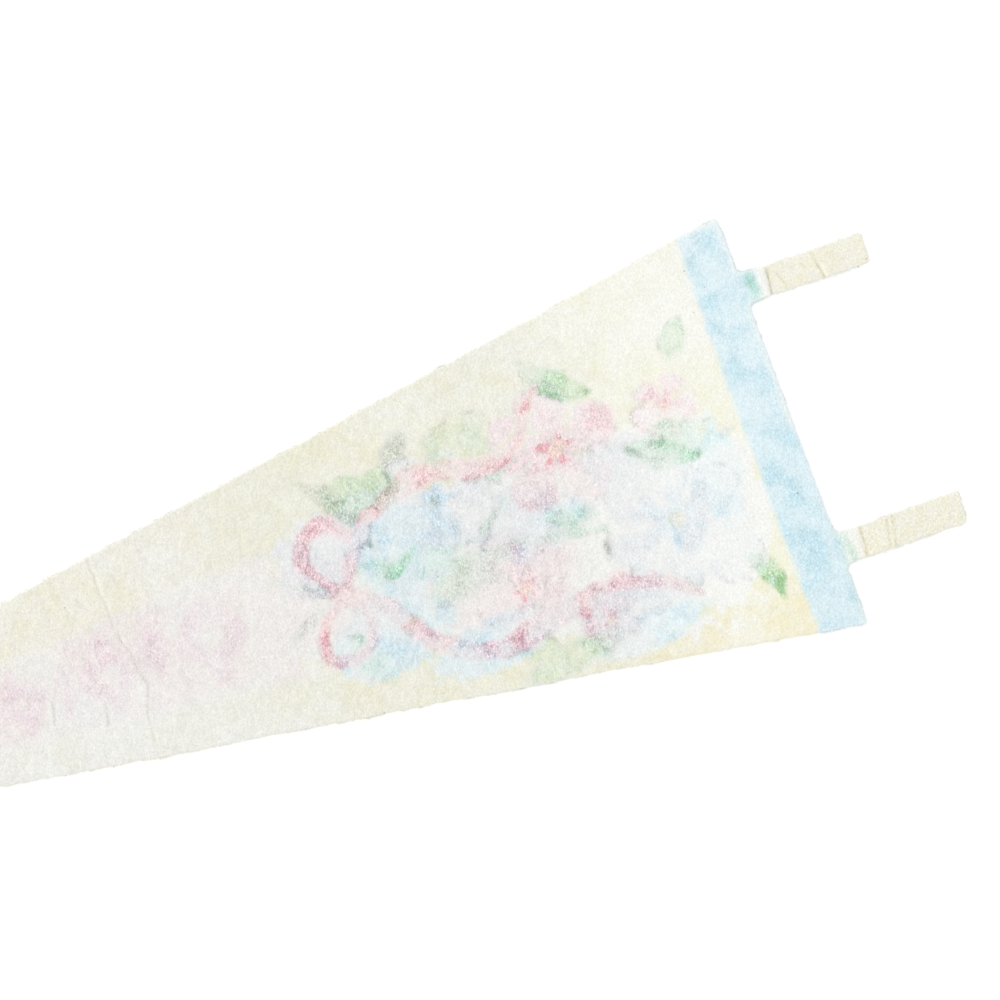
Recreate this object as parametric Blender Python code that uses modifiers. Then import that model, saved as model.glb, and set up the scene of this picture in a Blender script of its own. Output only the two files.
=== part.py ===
"""Felt pennant lying flat: one piece of pressed felt, cut out with its two tabs.

Metres, +Z up. +X runs from the tip to the head, +Y is across. The sheet's underside lies on z = 0 and the
origin is under the middle of its outline. Run it with: blender --background --python part.py
"""

import math

import bmesh
import bpy

MM = 0.001

# ---- the cut ----
HEAD_HALF = {"+Y": 61.3 * MM, "-Y": 60.4 * MM}  # the straight edge against the stick, each way from the line to the tip
HEAD_WIDTH = HEAD_HALF["+Y"] + HEAD_HALF["-Y"]
RUN = 390.4 * MM  # head to the point where the two long edges would meet
TIP_WIDTH = 3.0 * MM  # the tip is cut blunt
HEAD_SKEW = 1.1 * MM  # each end of the head is this far off square
THICKNESS = 1.2 * MM

# ---- how uneven the cut edges are ----
EDGE_BOW = {"+Y": 0.27 * MM, "-Y": 0.36 * MM}  # the long edges are cut slightly hollow between the head and the fold
EDGE_WOBBLE = 0.07 * MM
WOBBLE_WAVES = {"+Y": ((5.0, 0.4), (11.0, 2.1)), "-Y": ((4.0, 1.3), (9.0, 0.2))}  # (waves along the edge, phase)

# ---- the fold across the middle, pressed when the pennant was folded in half ----
CREASE_HEIGHT = 0.7 * MM
CREASE_REACH = 4.0 * MM  # from the fold line to where the felt lies flat again
CREASE_PATH = (  # where the fold line runs
    {"across": 30.0 * MM, "from_head": 198.0 * MM},
    {"across": 19.0 * MM, "from_head": 198.8 * MM},
    {"across": 5.0 * MM, "from_head": 197.1 * MM},
    {"across": -9.0 * MM, "from_head": 194.8 * MM},
    {"across": -17.0 * MM, "from_head": 197.5 * MM},
    {"across": -30.0 * MM, "from_head": 198.6 * MM},
)

# ---- the tabs, each a strip in sections from the head outwards ----
# skew moves a section's +Y end out and its -Y end in; lift is how far the felt stands off the surface there
TABS = {
    "upper": {
        "across": 39.5 * MM,
        "turn": math.radians(-0.6),
        "sections": (
            {"out": 0.0, "width": 11.4 * MM, "skew": 0.0, "lift": 0.0},
            {"out": 0.5 * MM, "width": 10.0 * MM, "skew": 0.0, "lift": 0.0},
            {"out": 1.5 * MM, "width": 9.1 * MM, "skew": 0.0, "lift": 0.0},
            {"out": 7.3 * MM, "width": 8.5 * MM, "skew": 0.45 * MM, "lift": 0.0},
            {"out": 15.0 * MM, "width": 8.7 * MM, "skew": 0.15 * MM, "lift": 0.45 * MM},
            {"out": 22.6 * MM, "width": 8.8 * MM, "skew": -0.15 * MM, "lift": 1.1 * MM},
            {"out": 28.0 * MM, "width": 8.8 * MM, "skew": 0.0, "lift": 0.55 * MM},
            {"out": 35.4 * MM, "width": 9.0 * MM, "skew": 0.1 * MM, "lift": 0.05 * MM},
            {"out": 36.2 * MM, "width": 7.6 * MM, "skew": 0.1 * MM, "lift": 0.0},
        ),
    },
    "lower": {
        "across": -38.25 * MM,
        "turn": 0.0,
        "sections": (
            {"out": 0.0, "width": 11.6 * MM, "skew": 0.0, "lift": 0.0},
            {"out": 0.5 * MM, "width": 10.2 * MM, "skew": 0.0, "lift": 0.0},
            {"out": 1.5 * MM, "width": 9.4 * MM, "skew": 0.0, "lift": 0.0},
            {"out": 6.6 * MM, "width": 9.25 * MM, "skew": 0.6 * MM, "lift": 0.0},
            {"out": 10.4 * MM, "width": 9.3 * MM, "skew": 0.9 * MM, "lift": 0.5 * MM},
            {"out": 14.5 * MM, "width": 9.4 * MM, "skew": 1.25 * MM, "lift": 1.1 * MM},
            {"out": 21.0 * MM, "width": 9.5 * MM, "skew": 0.5 * MM, "lift": 0.45 * MM},
            {"out": 28.0 * MM, "width": 9.6 * MM, "skew": 0.3 * MM, "lift": 0.1 * MM},
            {"out": 35.8 * MM, "width": 9.5 * MM, "skew": 0.3 * MM, "lift": 0.0},
            {"out": 36.3 * MM, "width": 8.4 * MM, "skew": 0.3 * MM, "lift": 0.0},
        ),
    },
}
TAB_COLUMNS = 3  # faces across a tab

# ---- how finely the panel is divided ----
ROW_STEP = 12.0 * MM
COLUMN_STEP = 15.0 * MM

FELT = {"name": "felt", "colour": (0.87, 0.86, 0.76, 1.0), "roughness": 0.95, "metallic": 0.0}


def clear_scene():
    for ob in list(bpy.data.objects):
        bpy.data.objects.remove(ob, do_unlink=True)


def felt_material():
    made = bpy.data.materials.new(FELT["name"])
    made.use_nodes = True
    shader = made.node_tree.nodes["Principled BSDF"]
    shader.inputs["Base Color"].default_value = FELT["colour"]
    shader.inputs["Roughness"].default_value = FELT["roughness"]
    shader.inputs["Metallic"].default_value = FELT["metallic"]
    return made


def between(table, key, value, at):
    """Straight lines through a table's rows, read at one place."""
    rows = sorted(table, key=lambda row: row[key])
    if at <= rows[0][key]:
        return rows[0][value]
    for low, high in zip(rows, rows[1:]):
        if at <= high[key]:
            share = (at - low[key]) / (high[key] - low[key])
            return low[value] + share * (high[value] - low[value])
    return rows[-1][value]


def edge_offset(side, share):
    """How far a long edge stands out of its straight line; share runs from 0 at the head to 1 at the tip."""
    fade = math.sin(math.pi * share)
    out = sum(EDGE_WOBBLE * math.sin(2 * math.pi * waves * share + phase) for waves, phase in WOBBLE_WAVES[side])
    if share < 0.5:
        out -= EDGE_BOW[side] * math.sin(2 * math.pi * share)
    return out * min(1.0, 6 * fade)


def half_width(side, from_head):
    return HEAD_HALF[side] * (1 - from_head / RUN) + edge_offset(side, from_head / RUN)


def rows_from_head():
    """Distances of the panel's rows from the head, as (base distance, kind): a flat row, or one that follows the fold."""
    middle = sum(row["from_head"] for row in CREASE_PATH) / len(CREASE_PATH)
    end = RUN * (1 - TIP_WIDTH / HEAD_WIDTH)
    inner, outer = middle - 2 * CREASE_REACH, middle + 2 * CREASE_REACH

    def spaced(start, stop):
        steps = max(1, round((stop - start) / ROW_STEP))
        return [start + (stop - start) * i / steps for i in range(steps + 1)]

    rows = [(at, "flat") for at in spaced(0.0, inner)]
    rows += [(-CREASE_REACH, "fold"), (0.0, "fold"), (CREASE_REACH, "fold")]
    rows += [(at, "flat") for at in spaced(outer, end - 2.0 * MM)]
    rows += [(end - 0.6 * MM, "flat"), (end, "tip")]
    return rows


def columns_across():
    """Places across the head, which every row repeats in proportion: the tabs' corners, and the felt between them."""
    stops = [-HEAD_HALF["-Y"], HEAD_HALF["+Y"]]
    for tab in TABS.values():
        root = tab["sections"][0]["width"]
        stops += [tab["across"] - root / 2 + root * i / TAB_COLUMNS for i in range(TAB_COLUMNS + 1)]
    stops.sort()
    filled = [stops[0]]
    for stop in stops[1:]:
        steps = max(1, round((stop - filled[-1]) / COLUMN_STEP))
        start = filled[-1]
        filled += [start + (stop - start) * (i + 1) / steps for i in range(steps)]
    return filled


def panel_point(row, kind, across_head):
    """The place of one grid point of the panel, before the origin is moved."""
    side = "+Y" if across_head > 0 else "-Y"
    share = across_head / HEAD_HALF[side]
    lift = 0.0
    if kind == "fold":
        fold = between(CREASE_PATH, "across", "from_head", share * HEAD_WIDTH / 4)
        from_head = fold + row
        lift = CREASE_HEIGHT * (1 - abs(row) / CREASE_REACH)
    else:
        from_head = row
    y = share * half_width(side, from_head)
    if kind == "tip":  # the blunt tip's corners are worn round
        y *= 0.6
    skew = -HEAD_SKEW * share * max(0.0, 1 - from_head / (3 * COLUMN_STEP))
    return (-from_head + skew, y, lift)


def add_panel(bm, rows, columns):
    """A grid, with each of its points moved to its place on the panel. Returns the points along the head."""
    made = bmesh.ops.create_grid(bm, x_segments=len(rows) - 1, y_segments=len(columns) - 1, size=0.5)["verts"]
    head = {}
    for v in made:
        i = round((v.co.x + 0.5) * (len(rows) - 1))
        j = round((v.co.y + 0.5) * (len(columns) - 1))
        row, kind = rows[len(rows) - 1 - i]
        v.co = panel_point(row, kind, columns[j])
        if i == len(rows) - 1:
            head[j] = v
    return [head[j] for j in sorted(head)]


def add_tab(bm, head, columns, tab):
    """The panel's head edge between the tab's corners, extruded section by section."""
    root = tab["sections"][0]
    low = min(range(len(columns)), key=lambda j: abs(columns[j] - (tab["across"] - root["width"] / 2)))
    line = head[low : low + TAB_COLUMNS + 1]
    start_x = sum(v.co.x for v in line) / len(line)
    along = (math.cos(tab["turn"]), math.sin(tab["turn"]))
    for section in tab["sections"][1:]:
        edges = [bm.edges.get((a, b)) for a, b in zip(line, line[1:])]
        grown = bmesh.ops.extrude_edge_only(bm, edges=edges)["geom"]
        line = sorted((g for g in grown if isinstance(g, bmesh.types.BMVert)), key=lambda v: v.co.y)
        for k, v in enumerate(line):
            share = 2 * k / TAB_COLUMNS - 1
            out = section["out"] + section["skew"] * share
            side = share * section["width"] / 2
            v.co.x = start_x + out * along[0] - side * along[1]
            v.co.y = tab["across"] + out * along[1] + side * along[0]
            v.co.z = section["lift"]


def build():
    clear_scene()
    shelf = bpy.data.collections.new("felt_pennant")
    bpy.context.scene.collection.children.link(shelf)

    rows, columns = rows_from_head(), columns_across()
    bm = bmesh.new()
    head = add_panel(bm, rows, columns)
    for tab in TABS.values():
        add_tab(bm, head, columns, tab)
    bmesh.ops.recalc_face_normals(bm, faces=bm.faces)
    if sum(f.normal.z for f in bm.faces) < 0:
        bmesh.ops.reverse_faces(bm, faces=bm.faces)
    bmesh.ops.triangulate(bm, faces=bm.faces)

    low_x, high_x = min(v.co.x for v in bm.verts), max(v.co.x for v in bm.verts)
    low_y, high_y = min(v.co.y for v in bm.verts), max(v.co.y for v in bm.verts)
    for v in bm.verts:
        v.co.x -= (low_x + high_x) / 2
        v.co.y -= (low_y + high_y) / 2

    mesh = bpy.data.meshes.new("pennant")
    bm.to_mesh(mesh)
    bm.free()
    mesh.materials.append(felt_material())
    pennant = bpy.data.objects.new("pennant", mesh)
    shelf.objects.link(pennant)

    thick = pennant.modifiers.new("felt thickness", "SOLIDIFY")
    thick.thickness = THICKNESS
    thick.offset = 1.0  # the grid is the underside, and the felt is above it
    thick.use_even_offset = True
    return pennant


build()
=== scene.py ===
"""Felt pennant, reverse face up: a thin sheet of pressed felt with a soaked-through print, two tabs and old folds.

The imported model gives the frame. Lengths below are in millimetres in the pennant's own layout: u runs along the
pennant from the head's middle (0) towards the tip (negative) and out along the tabs (positive), and v runs across it.
"""

import math

import bpy
import numpy as np
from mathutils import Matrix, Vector, kdtree
from mathutils.geometry import delaunay_2d_cdt


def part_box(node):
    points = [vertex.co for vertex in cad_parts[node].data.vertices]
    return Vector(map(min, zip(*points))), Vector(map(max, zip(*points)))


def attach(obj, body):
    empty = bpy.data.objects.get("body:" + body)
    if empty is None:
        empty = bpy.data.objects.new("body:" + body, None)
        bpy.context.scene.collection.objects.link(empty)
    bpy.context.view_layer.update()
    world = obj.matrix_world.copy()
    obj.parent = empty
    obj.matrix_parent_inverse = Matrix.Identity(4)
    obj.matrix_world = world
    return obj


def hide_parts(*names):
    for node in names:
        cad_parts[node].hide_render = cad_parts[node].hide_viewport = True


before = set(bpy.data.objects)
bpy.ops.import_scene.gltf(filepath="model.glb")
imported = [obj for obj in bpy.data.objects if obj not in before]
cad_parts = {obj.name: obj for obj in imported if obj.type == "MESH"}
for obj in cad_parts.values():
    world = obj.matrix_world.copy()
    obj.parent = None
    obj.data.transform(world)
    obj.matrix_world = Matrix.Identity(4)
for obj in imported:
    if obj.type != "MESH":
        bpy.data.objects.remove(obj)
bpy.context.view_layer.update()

# ---------------------------------------------------------------------------------------------------------------
# the cut, the same numbers as the solid's
# ---------------------------------------------------------------------------------------------------------------
HEAD_HALF = {"+Y": 61.3, "-Y": 60.4}  # from the line to the tip to each end of the head
HEAD_WIDTH = HEAD_HALF["+Y"] + HEAD_HALF["-Y"]
RUN = 390.4  # head to the point where the long edges would meet
TIP_WIDTH = 3.0
HEAD_SKEW = 1.1
SKEW_REACH = 45.0
THICKNESS = 1.2
EDGE_BOW = {"+Y": 0.27, "-Y": 0.36}
EDGE_WOBBLE = 0.07
WOBBLE_WAVES = {"+Y": ((5.0, 0.4), (11.0, 2.1)), "-Y": ((4.0, 1.3), (9.0, 0.2))}
TIP_AT = RUN * (1 - TIP_WIDTH / HEAD_WIDTH)

low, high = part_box("pennant")
HEAD_X = low[0] * 1000 + TIP_AT  # where the head lies along X
HEAD_Y = low[1] * 1000 + HEAD_HALF["-Y"]  # and the line to the tip along Y

CREASE_HEIGHT = 0.7
CREASE_REACH = 4.0
CREASE_PATH = ((30.0, 198.0), (19.0, 198.8), (5.0, 197.1), (-9.0, 194.8), (-17.0, 197.5), (-30.0, 198.6))  # (v, from the head)

# (out, width, skew, lift)
TABS = {
    "upper": {
        "across": 39.5,
        "turn": math.radians(-0.6),
        "sections": (
            (0.0, 11.4, 0.0, 0.0),
            (0.5, 10.0, 0.0, 0.0),
            (1.5, 9.1, 0.0, 0.0),
            (7.3, 8.5, 0.45, 0.0),
            (15.0, 8.7, 0.15, 0.45),
            (22.6, 8.8, -0.15, 1.1),
            (28.0, 8.8, 0.0, 0.55),
            (35.4, 9.0, 0.1, 0.05),
            (36.2, 7.6, 0.1, 0.0),
        ),
    },
    "lower": {
        "across": -38.25,
        "turn": 0.0,
        "sections": (
            (0.0, 11.6, 0.0, 0.0),
            (0.5, 10.2, 0.0, 0.0),
            (1.5, 9.4, 0.0, 0.0),
            (6.6, 9.25, 0.6, 0.0),
            (10.4, 9.3, 0.9, 0.5),
            (14.5, 9.4, 1.25, 1.1),
            (21.0, 9.5, 0.5, 0.45),
            (28.0, 9.6, 0.3, 0.1),
            (35.8, 9.5, 0.3, 0.0),
            (36.3, 8.4, 0.3, 0.0),
        ),
    },
}

# ---- how the mesh is divided ----
EDGE_STEP = 0.36  # between points along the cut
GRID_STEP = 0.88  # between points of the panel
RINGS = (0.2, 0.5)  # rows of points inside the cut, which round its edge
EDGE_ROUND = 0.3  # the cut edge's rounding
CORNER_ROUND, HEAD_ROUND = 0.9, (0.9, 1.1)  # and the head's lower and upper corners
HEAD_WORN = 0.5  # the upper corner has worn this far down
RAGGED = ((9.0, 0.05), (2.9, 0.03), (1.1, 0.035), (0.75, 0.05))  # (wavelength, how far the cut strays)
SOFT_EDGE = {"head": 0.12, "tabs": 0.12, "+Y": 0.27, "-Y": 0.1}  # how much of the outline is only loose fibre ends
FIBRES = 12000

# ---- old folds and wrinkles: a line through (u, v) points, its groove or ridge, the dirt and painted shade in it, and the painted highlight beside it
FOLDS = (
    {"line": "middle", "height": -0.08, "reach": 0.55, "dirt_and_shade": 0.72, "painted_highlight": 1.4, "painted_highlight_at": 0.9},
    {"line": ((6.35, 34.6), (6.4, 36.6), (6.75, 39.4), (7.1, 44.2)), "height": -0.14, "reach": 0.42, "dirt_and_shade": 1.3, "painted_highlight": 0.3, "painted_highlight_at": -0.8},
    {"line": ((21.6, 34.8), (21.3, 37.0), (20.9, 39.6), (20.3, 44.0)), "height": -0.07, "reach": 0.46, "dirt_and_shade": 0.75, "painted_highlight": 2.0, "painted_highlight_at": 0.85},
    {"line": ((8.4, 40.8), (9.7, 40.1), (10.1, 39.0), (10.6, 37.2), (10.9, 35.4)), "height": -0.06, "reach": 0.4, "dirt_and_shade": 0.42, "painted_highlight": 0.25, "painted_highlight_at": -0.8},
    {"line": ((11.6, 43.6), (11.9, 41.5), (11.7, 40.2)), "height": -0.04, "reach": 0.4, "dirt_and_shade": 0.25, "painted_highlight": 0.3, "painted_highlight_at": 0.7},
    {"line": ((15.9, 41.2), (17.2, 40.2), (17.6, 38.6)), "height": -0.04, "reach": 0.4, "dirt_and_shade": 0.22, "painted_highlight": 0.2, "painted_highlight_at": -0.7},
    {"line": ((7.9, -33.4), (7.6, -37.0), (7.7, -39.3), (6.8, -43.0)), "height": -0.13, "reach": 0.4, "dirt_and_shade": 0.95, "painted_highlight": 0.3, "painted_highlight_at": -0.8},
    {"line": ((15.75, -33.6), (14.8, -37.8), (13.9, -42.9)), "height": -0.05, "reach": 0.4, "dirt_and_shade": 0.6, "painted_highlight": 1.0, "painted_highlight_at": 0.72},
    {"line": ((17.2, -33.6), (16.3, -37.8), (15.5, -42.9)), "height": -0.04, "reach": 0.35, "dirt_and_shade": 0.45, "painted_highlight": 0.0, "painted_highlight_at": 0.7},
    {"line": ((23.4, -35.2), (24.6, -38.2), (24.1, -40.4)), "height": -0.04, "reach": 0.45, "dirt_and_shade": 0.22, "painted_highlight": 0.2, "painted_highlight_at": 0.8},
    {"line": ((-207.4, -11.0), (-208.0, -13.2), (-208.4, -15.4), (-209.6, -17.2)), "height": -0.05, "reach": 0.4, "dirt_and_shade": 0.65, "painted_highlight": 0.4, "painted_highlight_at": 0.8},
    {"line": ((-221.4, -4.6), (-222.2, -8.3), (-223.0, -12.4)), "height": -0.04, "reach": 0.45, "dirt_and_shade": 0.5, "painted_highlight": 0.3, "painted_highlight_at": -0.9},
    {"line": ((-205.4, -2.6), (-209.5, -4.9), (-214.0, -7.4)), "height": 0.05, "reach": 0.5, "dirt_and_shade": 0.15, "painted_highlight": 0.8, "painted_highlight_at": 0.4},
    {"line": ((-168.2, -7.4), (-169.4, -4.0), (-169.0, -0.6)), "height": -0.03, "reach": 0.45, "dirt_and_shade": 0.35, "painted_highlight": 0.2, "painted_highlight_at": 0.8},
    {"line": ((-186.0, -27.2), (-187.2, -23.0), (-186.4, -19.0)), "height": -0.03, "reach": 0.5, "dirt_and_shade": 0.2, "painted_highlight": 0.2, "painted_highlight_at": 0.8},
)
# how much of the middle fold's dirt and painted shade, and of the painted highlight beside it, shows across the pennant
MIDDLE_DIRT_AND_SHADE = ((-31.0, 0.35), (-21.0, 0.35), (-15.5, 0.68), (-11.0, 0.75), (-7.5, 1.45), (-5.0, 0.55), (-3.0, 0.42), (0.0, 0.6), (3.0, 0.75), (6.0, 1.0), (15.5, 0.95), (18.5, 0.5), (21.0, 0.35), (24.0, 0.5), (27.0, 0.7), (31.0, 0.7))
MIDDLE_STRAY = ((-31.0, 0.0), (-15.0, 0.0), (-11.0, -0.5), (-8.0, 0.0), (0.0, 0.1), (4.0, 0.7), (12.0, 0.7), (16.0, 0.0), (22.0, 0.4), (26.0, 0.8), (31.0, 0.8))
MIDDLE_HIGHLIGHT = ((-31.0, 0.8), (-26.0, 0.8), (-22.0, 0.4), (-17.0, 0.1), (-12.0, 0.0), (0.0, 0.2), (11.0, 0.3), (15.0, 1.0), (22.0, 1.1), (27.0, 0.3), (31.0, 0.2))

rng = np.random.default_rng(20260411)


def smooth_step(low_edge, high_edge, x):
    t = np.clip((x - low_edge) / (high_edge - low_edge), 0.0, 1.0)
    return t * t * (3 - 2 * t)


def wave_noise(seed, length, size):
    """Smooth ups and downs along a closed line of the given length: one value for each of size places."""
    knots = max(4, round(length))
    values = np.random.default_rng(seed).normal(0.0, 1.0, knots)
    at = np.linspace(0.0, knots, size, endpoint=False)
    i = at.astype(int)
    t = at - i
    t = t * t * (3 - 2 * t)
    return values[i % knots] * (1 - t) + values[(i + 1) % knots] * t


def field_noise(u, v, step, seed):
    """Smooth ups and downs over the plane, about -1 to 1, with features about one step wide."""
    table = np.random.default_rng(seed).normal(0.0, 0.5, (97, 89))
    x, y = u / step + 1000.0, v / step + 1000.0
    i, j = np.floor(x).astype(int), np.floor(y).astype(int)
    s, t = x - i, y - j
    s, t = s * s * (3 - 2 * s), t * t * (3 - 2 * t)
    a, b = table[i % 97, j % 89], table[(i + 1) % 97, j % 89]
    c, d = table[i % 97, (j + 1) % 89], table[(i + 1) % 97, (j + 1) % 89]
    return (a * (1 - s) + b * s) * (1 - t) + (c * (1 - s) + d * s) * t


def edge_offset(side, share):
    fade = np.sin(np.pi * share)
    out = sum(EDGE_WOBBLE * np.sin(2 * np.pi * waves * share + phase) for waves, phase in WOBBLE_WAVES[side])
    out = out - EDGE_BOW[side] * np.where(share < 0.5, np.sin(2 * np.pi * share), 0.0)
    return out * np.minimum(1.0, 6 * fade)


def half_width(side, from_head):
    return HEAD_HALF[side] * (1 - from_head / RUN) + edge_offset(side, from_head / RUN)


def head_u(v):
    """The head edge is cut a little off square."""
    v = np.asarray(v)
    return -HEAD_SKEW * v / np.where(v > 0, HEAD_HALF["+Y"], HEAD_HALF["-Y"])


# ---------------------------------------------------------------------------------------------------------------
# the outline
# ---------------------------------------------------------------------------------------------------------------
def tab_side(tab, share):
    """One long side of a tab, from the head outwards."""
    along = (math.cos(tab["turn"]), math.sin(tab["turn"]))
    start = float(head_u(tab["across"]))
    points = []
    for out, width, skew, _ in tab["sections"]:
        o, side = out + skew * share, share * width / 2
        if out == 0.0:
            v = tab["across"] + side
            points.append((float(head_u(v)), v))
        else:
            points.append((start + o * along[0] - side * along[1], tab["across"] + o * along[1] + side * along[0]))
    return points


def rounded(points, radii):
    """A line of points with each inner corner taken round, by a curve that starts and ends its radius from it."""
    made = [points[0]]
    for before, here, after, radius in zip(points, points[1:], points[2:], radii):
        a, p, b = (np.array(q, float) for q in (before, here, after))
        r1 = min(radius, 0.45 * np.linalg.norm(a - p))
        r2 = min(radius, 0.45 * np.linalg.norm(b - p))
        start, end = p + (a - p) / np.linalg.norm(a - p) * r1, p + (b - p) / np.linalg.norm(b - p) * r2
        for t in np.linspace(0.0, 1.0, 9):
            made.append(tuple((1 - t) ** 2 * start + 2 * t * (1 - t) * p + t * t * end))
    made.append(points[-1])
    return made


def outline():
    """The cut as a closed line, anticlockwise from the lower end of the head, evenly spaced and a little ragged."""
    from_head = np.linspace(9.0, TIP_AT - 0.5, 900)
    skew = HEAD_SKEW * np.maximum(0.0, 1 - from_head / SKEW_REACH)
    upper = list(zip(-from_head - skew, half_width("+Y", from_head)))
    lower = list(zip(-from_head + skew, -half_width("-Y", from_head)))[::-1]
    head = [(HEAD_SKEW, -HEAD_HALF["-Y"])]
    for name in ("lower", "upper"):
        head += tab_side(TABS[name], -1.0) + tab_side(TABS[name], 1.0)[::-1]
    head.append((-HEAD_SKEW, HEAD_HALF["+Y"] - HEAD_WORN))
    corners = [lower[-1]] + head + [upper[0]]
    tip = [(-TIP_AT, 0.95), (-TIP_AT, -0.95)]
    radii = [HEAD_ROUND[0]] + [CORNER_ROUND] * (len(head) - 2) + [HEAD_ROUND[1]]
    line = np.array(rounded(corners, radii)[1:-1] + upper + tip + lower)

    closed = np.vstack([line, line[:1]])
    run = np.concatenate([[0.0], np.cumsum(np.linalg.norm(np.diff(closed, axis=0), axis=1))])
    count = int(run[-1] / EDGE_STEP)
    at = np.linspace(0.0, run[-1], count, endpoint=False)
    even = np.stack([np.interp(at, run, closed[:, k]) for k in (0, 1)], axis=1)

    way = np.roll(even, -1, axis=0) - np.roll(even, 1, axis=0)
    way /= np.linalg.norm(way, axis=1)[:, None]
    normal = np.stack([way[:, 1], -way[:, 0]], axis=1)  # outwards
    stray = sum(amount * wave_noise(40 + k, run[-1] / step, count) for k, (step, amount) in enumerate(RAGGED))
    at_head = smooth_step(-12.0, -3.0, even[:, 0])
    soft = np.where(even[:, 1] > 0, SOFT_EDGE["+Y"], SOFT_EDGE["-Y"]) * (1 - at_head) + SOFT_EDGE["head"] * at_head
    on_tab = smooth_step(1.0, 4.0, even[:, 0])
    soft = soft * (1 - on_tab) + SOFT_EDGE["tabs"] * on_tab
    ragged = even + normal * (stray - soft)[:, None]
    top, bottom = even[:, 1] > HEAD_HALF["+Y"] - 0.7, even[:, 1] < -HEAD_HALF["-Y"] + 0.7
    ragged[top | bottom] = (even - normal * np.maximum(soft, 0.0)[:, None])[top | bottom]
    return ragged, normal


def line_points(fold):
    """A fold's line, finely divided, as (u, v)."""
    if fold["line"] == "middle":
        v = np.linspace(-30.6, 30.6, 400)
        path = sorted(CREASE_PATH)
        from_head = np.interp(v, [p[0] for p in path], [p[1] for p in path])
        from_head = from_head + np.interp(v, *zip(*MIDDLE_STRAY))
        from_head = from_head + 0.25 * field_noise(v, v * 0, 3.1, 71) + 0.14 * field_noise(v, v * 0, 1.1, 72)
        return np.stack([-from_head, v], axis=1)
    p = np.array(fold["line"], float)
    run = np.concatenate([[0.0], np.cumsum(np.linalg.norm(np.diff(p, axis=0), axis=1))])
    at = np.linspace(0.0, run[-1], max(8, int(run[-1] / 0.3)))
    q = np.stack([np.interp(at, run, p[:, k]) for k in (0, 1)], axis=1)
    for _ in range(3):  # soft bends in place of corners
        q[1:-1] = (q[:-2] + 2 * q[1:-1] + q[2:]) / 4
    q[:, 0] += 0.12 * field_noise(q[:, 0], q[:, 1], 1.3, 73)
    return q


def near_line(u, v, q):
    """Distance to a line, which side of it (+1 where u is higher), and how far along it, from 0 to 1."""
    tree = kdtree.KDTree(len(q))
    for i, (a, b) in enumerate(q):
        tree.insert((a, b, 0.0), i)
    tree.balance()
    dist, side, share = np.full(len(u), 99.0), np.ones(len(u)), np.zeros(len(u))
    box = (u > q[:, 0].min() - 8) & (u < q[:, 0].max() + 8) & (v > q[:, 1].min() - 8) & (v < q[:, 1].max() + 8)
    for i in np.nonzero(box)[0]:
        _, k, _ = tree.find((u[i], v[i], 0.0))
        a, b = q[max(k - 1, 0)], q[min(k + 1, len(q) - 1)]
        w, r = b - a, np.array((u[i], v[i])) - a
        t = min(max(float(r @ w) / float(w @ w), 0.0), 1.0)
        dist[i] = math.hypot(*(r - t * w))
        side[i] = 1.0 if u[i] > a[0] + t * w[0] else -1.0
        share[i] = k / (len(q) - 1)
    return dist, side, share


# ---------------------------------------------------------------------------------------------------------------
# the sheet's relief
# ---------------------------------------------------------------------------------------------------------------
def fold_lift(u, v):
    """How far the sheet stands off the surface over the fold across its middle."""
    path = sorted(CREASE_PATH)
    fold = np.interp(v, [p[0] for p in path], [p[1] for p in path])
    s = np.abs(-u - fold)
    return CREASE_HEIGHT * np.exp(-((s / (0.55 * CREASE_REACH)) ** 1.5))


def tab_lift(u, v):
    """The tabs stand in low tents over their outer folds."""
    lift = np.zeros(len(u))
    for tab in TABS.values():
        on = (u > 1.5) & (np.abs(v - tab["across"] - u * math.sin(tab["turn"])) < 8)
        outs = [s[0] for s in tab["sections"]]
        total, weights = np.zeros(on.sum()), 0.0
        share = (v[on] - tab["across"]) / 4.5
        skew = np.interp(u[on], outs, [s[2] for s in tab["sections"]])
        for shift, weight in ((-1.2, 0.2), (-0.5, 0.3), (0.5, 0.3), (1.2, 0.2)):
            total += weight * np.interp(u[on] - skew * share + shift, outs, [s[3] for s in tab["sections"]])
            weights += weight
        lift[on] = total / weights
    return lift


def relief(u, v):
    """Lumps and soft waves of pressed felt, on its upper face."""
    return (
        0.03 * field_noise(u, v, 7.0, 11)
        + 0.025 * field_noise(u * 0.8 + v * 0.3, v * 0.5, 1.9, 12)
        + 0.03 * field_noise(u, v, 2.6, 13)
        + 0.04 * field_noise(u, v, 23.0, 14)
    )


# ---------------------------------------------------------------------------------------------------------------
# the print: plain flowers, leaves, a bow and a row of lozenges. Every shape gives its depth in mm, positive inside.
# ---------------------------------------------------------------------------------------------------------------
def flower(u, v, at, size, petals, turn, notch=0.34):
    """A flower of separate petals round a small disc."""
    x, y = u - at[0], v - at[1]
    r, a = np.hypot(x, y), np.arctan2(y, x) - math.radians(turn)
    lobe = np.abs(np.cos(petals * a / 2)) ** 0.55
    gap = np.abs(((a / (2 * math.pi) * petals + 0.5) % 1.0) - 0.5)  # 0 along a petal's middle, 0.5 between two
    apart = (0.5 - gap) * 2 * math.pi / petals * r - 0.5 - 0.02 * r
    petal = np.minimum((size * (1 - notch + notch * lobe) - r) * 0.85, apart)
    return np.maximum(petal, 0.3 * size - r)


def petal_lines(u, v, at, size, petals, turn):
    """A few lines along each petal."""
    x, y = u - at[0], v - at[1]
    r, a = np.hypot(x, y), np.arctan2(y, x) - math.radians(turn)
    gap = np.abs(((a / (2 * math.pi) * petals + 0.5) % 1.0) - 0.5)
    off = np.abs(gap - 0.13) * 2 * math.pi / petals * r
    return np.where((r > 0.3 * size) & (r < (0.72 - 0.8 * gap) * size), 0.4 - off, -5.0)


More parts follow.
